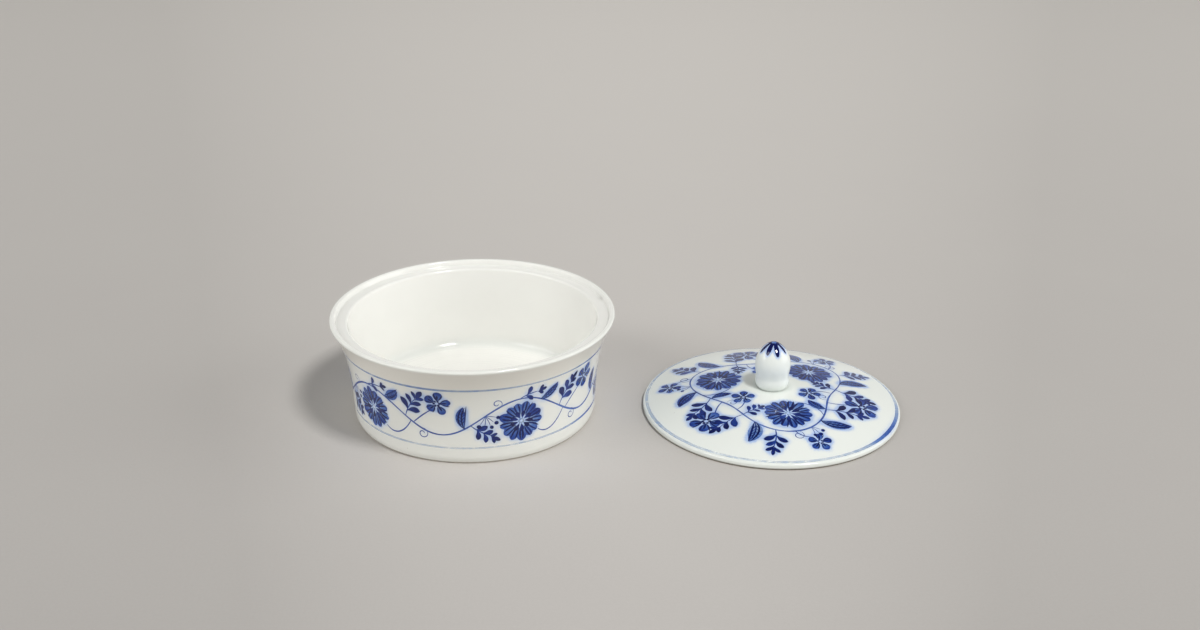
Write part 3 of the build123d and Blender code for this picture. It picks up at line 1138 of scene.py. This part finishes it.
def glaze(name, white, shade, bluing):
    """Material of one glazed skin. white and shade are the two tones that its clouds move between,
    and the halo is full where the cover of the strokes reaches bluing."""
    material, tree, shader = new_material(name)
    clouds = use(tree, "glaze_clouds")
    # The inside's white is lighter than the outside's: partly warmer glaze, partly painted light
    inside = blend_colour(tree, clouds["Tone"], srgb(242, 242, 238), srgb(250, 250, 246))
    bare = own_number(tree, "bare")
    layers = [
        (own_number(tree, "warmth"), inside),
        # Under the rim: the glaze's creamier tone and painted shade
        (own_number(tree, "cream"), srgb(240, 238, 230)),
        (mask(tree, own_number(tree, "bleed"), 0.0, bluing), srgb(178, 200, 239)),
        (times(tree, own_number(tree, "pooled"), 0.35), srgb(205, 216, 212)),
        (times(tree, clouds["Specks"], 0.75), srgb(105, 84, 66)),
        # A real stain and dirt, and painted shade: contact shadows, the recess corner and the knob's
        # crease
        (own_number(tree, "dirt"), srgb(86, 79, 66)),
        (bare, srgb(222, 209, 188)),
    ]
    colour = blend_colour(tree, clouds["Tone"], shade, white)
    for share, tone in layers:
        colour = blend_colour(tree, share, colour, tone)
    gloss = use(tree, "handling_marks")["Roughness"]
    rough = add_node(tree, "MapRange", {"Value": bare, "To Min": gloss, "To Max": 0.7}).outputs[0]
    feed(tree, shader, {"Base Color": colour, "Roughness": rough})
    rings = times(tree, use(tree, "turning_rings")["Height"], own_number(tree, "turned"))
    height = plus(tree, use(tree, "glaze_ripple")["Height"], times(tree, rings, RING_DEPTH))
    under_glaze(tree, shader, height)
    return material


box_glaze = glaze("box_glaze", srgb(243, 244, 239), srgb(236, 238, 233), bluing=0.62)
lid_glaze = glaze("lid_glaze", srgb(242, 246, 241), srgb(236, 241, 237), bluing=0.36)
knob_glaze = glaze("knob_glaze", srgb(244, 248, 243), srgb(237, 243, 239), bluing=0.30)
for skin, finish in ((box_skin, box_glaze), (lid_skin, lid_glaze), (knob_skin, knob_glaze)):
    skin.data.materials.append(finish)
print("glazed skins:", [skin.name for skin in (box_skin, lid_skin, knob_skin)])

# %% [markdown]
# ## Cobalt under the glaze
# A full brush leaves nearly black blue, and a wet one leaves a pale wash. The strength that each
# stroke carries is changed by streaks of the hairs along the stroke, by patches where the colour
# lay thicker, and by the darker rim where a wash dried. A ramp then turns strength into colour.

# %% Brushed cobalt
cobalt, tree, shader = new_material("brushed_cobalt")
ink, edge = own_number(tree, "ink"), own_number(tree, "edge")
marks = add_node(tree, "UVMap", uv_map="marks").outputs[0]
stretched = add_node(tree, "Mapping", {"Vector": marks, "Scale": (5.0, 85.0, 1.0)}).outputs[0]
hairs = calc(tree, "SUBTRACT", noise(tree, stretched, 1.0, 2.0), 0.5)
place = add_node(tree, "TexCoord").outputs["Object"]
patches = calc(tree, "SUBTRACT", noise(tree, place, 420.0, 3.0), 0.5)
rim = times(tree, mask(tree, edge, 0.30, 0.10), 0.10)
strength = plus(tree, plus(tree, ink, rim), times(tree, hairs, 0.45))
strength = plus(tree, strength, times(tree, patches, 0.35))
ramp = add_node(tree, "ValToRGB", {0: strength})
tones = [
    (0.0, (202, 214, 226)), (0.22, (142, 165, 196)), (0.42, (84, 120, 190)),
    (0.62, (40, 75, 160)), (0.82, (16, 41, 120)), (1.0, (4, 17, 78)),
]
for where, tone in tones[1:-1]:
    ramp.color_ramp.elements.new(where)
for element, (where, tone) in zip(ramp.color_ramp.elements, tones):
    element.position, element.color = where, srgb(*tone)
cover = mask(tree, plus(tree, edge, times(tree, patches, 0.06)), 0.0, 0.11)
thin = mask(tree, strength, -0.15, 0.35)
cover = times(tree, cover, thin)
gloss = use(tree, "handling_marks")["Roughness"]
feed(tree, shader, {"Base Color": ramp.outputs[0], "Alpha": cover, "Roughness": gloss})
under_glaze(tree, shader, use(tree, "glaze_ripple")["Height"])
for piece in paintings:
    piece.data.materials.append(cobalt)
print("ramp stops:", len(ramp.color_ramp.elements))

# %% [markdown]
# ## Sizes
# The box that the solids fill and the box of the dressed part are both printed.

# %% Print the sizes and finish
look_low, look_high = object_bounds()
sizes = {
    "cad": [list(cad_low), list(cad_high)],
    "look": [list(look_low), list(look_high)],
}
spans = [[round((high - low) / MM, 2) for low, high in zip(*pair)] for pair in sizes.values()]
print("cad and look sizes in mm:", spans)
